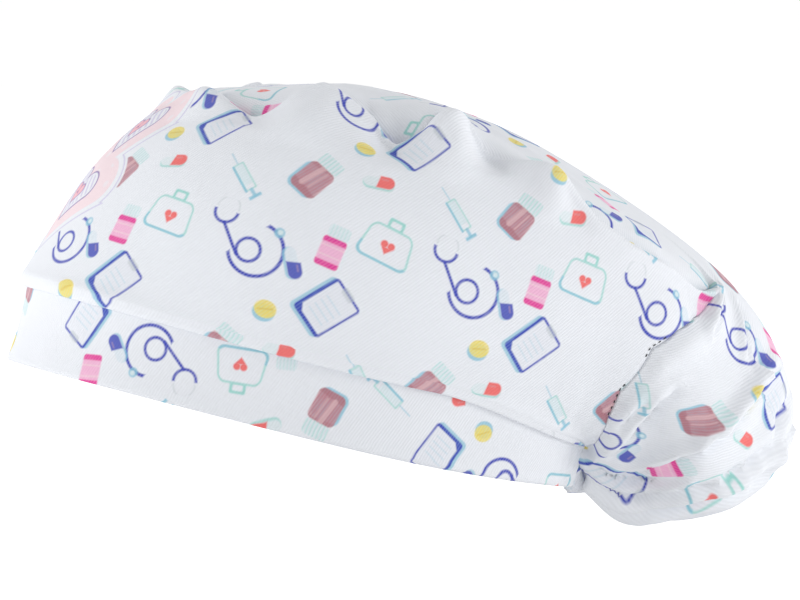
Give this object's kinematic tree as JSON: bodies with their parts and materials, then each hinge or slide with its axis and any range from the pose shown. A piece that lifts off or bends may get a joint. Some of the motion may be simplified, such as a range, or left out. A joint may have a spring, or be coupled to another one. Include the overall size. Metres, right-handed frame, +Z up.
{
  "type": "surgical scrub cap",
  "caption": "Bouffant surgical scrub cap in printed white twill: front band, crown wall, gathered top that hangs behind in a pouch, and an elastic nape casing, shaped as worn.",
  "frame": {"origin": "the middle of the head opening, level with its rim at the ears", "axes": "+Z up, front of the cap towards -Y, wearer's left towards +X"},
  "size_m": [0.167, 0.2692, 0.1456],
  "materials": {
    "band_twill": "matt printed twill, double",
    "crown_twill": "matt printed twill",
    "casing_twill": "matt printed twill, gathered over elastic"
  },
  "bodies": {
    "root": {"front_band": "band_twill", "crown_wall": "crown_twill", "crown_top": "crown_twill", "nape_casing": "casing_twill"}
  },
  "joints": []
}
